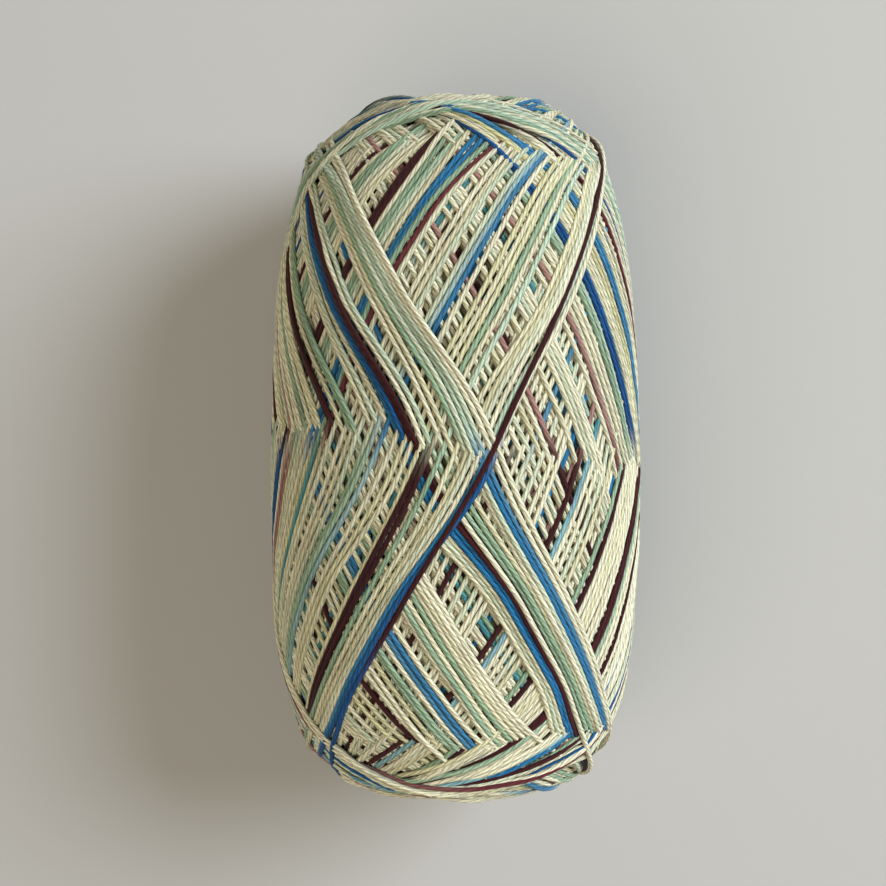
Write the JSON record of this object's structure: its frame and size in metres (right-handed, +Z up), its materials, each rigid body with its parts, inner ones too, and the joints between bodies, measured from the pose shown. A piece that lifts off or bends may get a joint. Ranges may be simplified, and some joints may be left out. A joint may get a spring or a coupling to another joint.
{
  "type": "skein of wool yarn",
  "caption": "Centre-pull skein of self-striping wool yarn, cream with blue, green and maroon, machine wound in crossing turns and lying on its side.",
  "frame": {"origin": "on the surface it rests on, under the middle of the skein's bounding box", "axes": "+Z up, away from the surface; +Y along the skein's winding axis, towards the end that is at the top of the picture; +X across it"},
  "size_m": [0.0752, 0.1388, 0.0703],
  "materials": {
    "yarn": "matt wool, plied"
  },
  "bodies": {
    "root": {"wound_yarn": "yarn"}
  },
  "joints": []
}
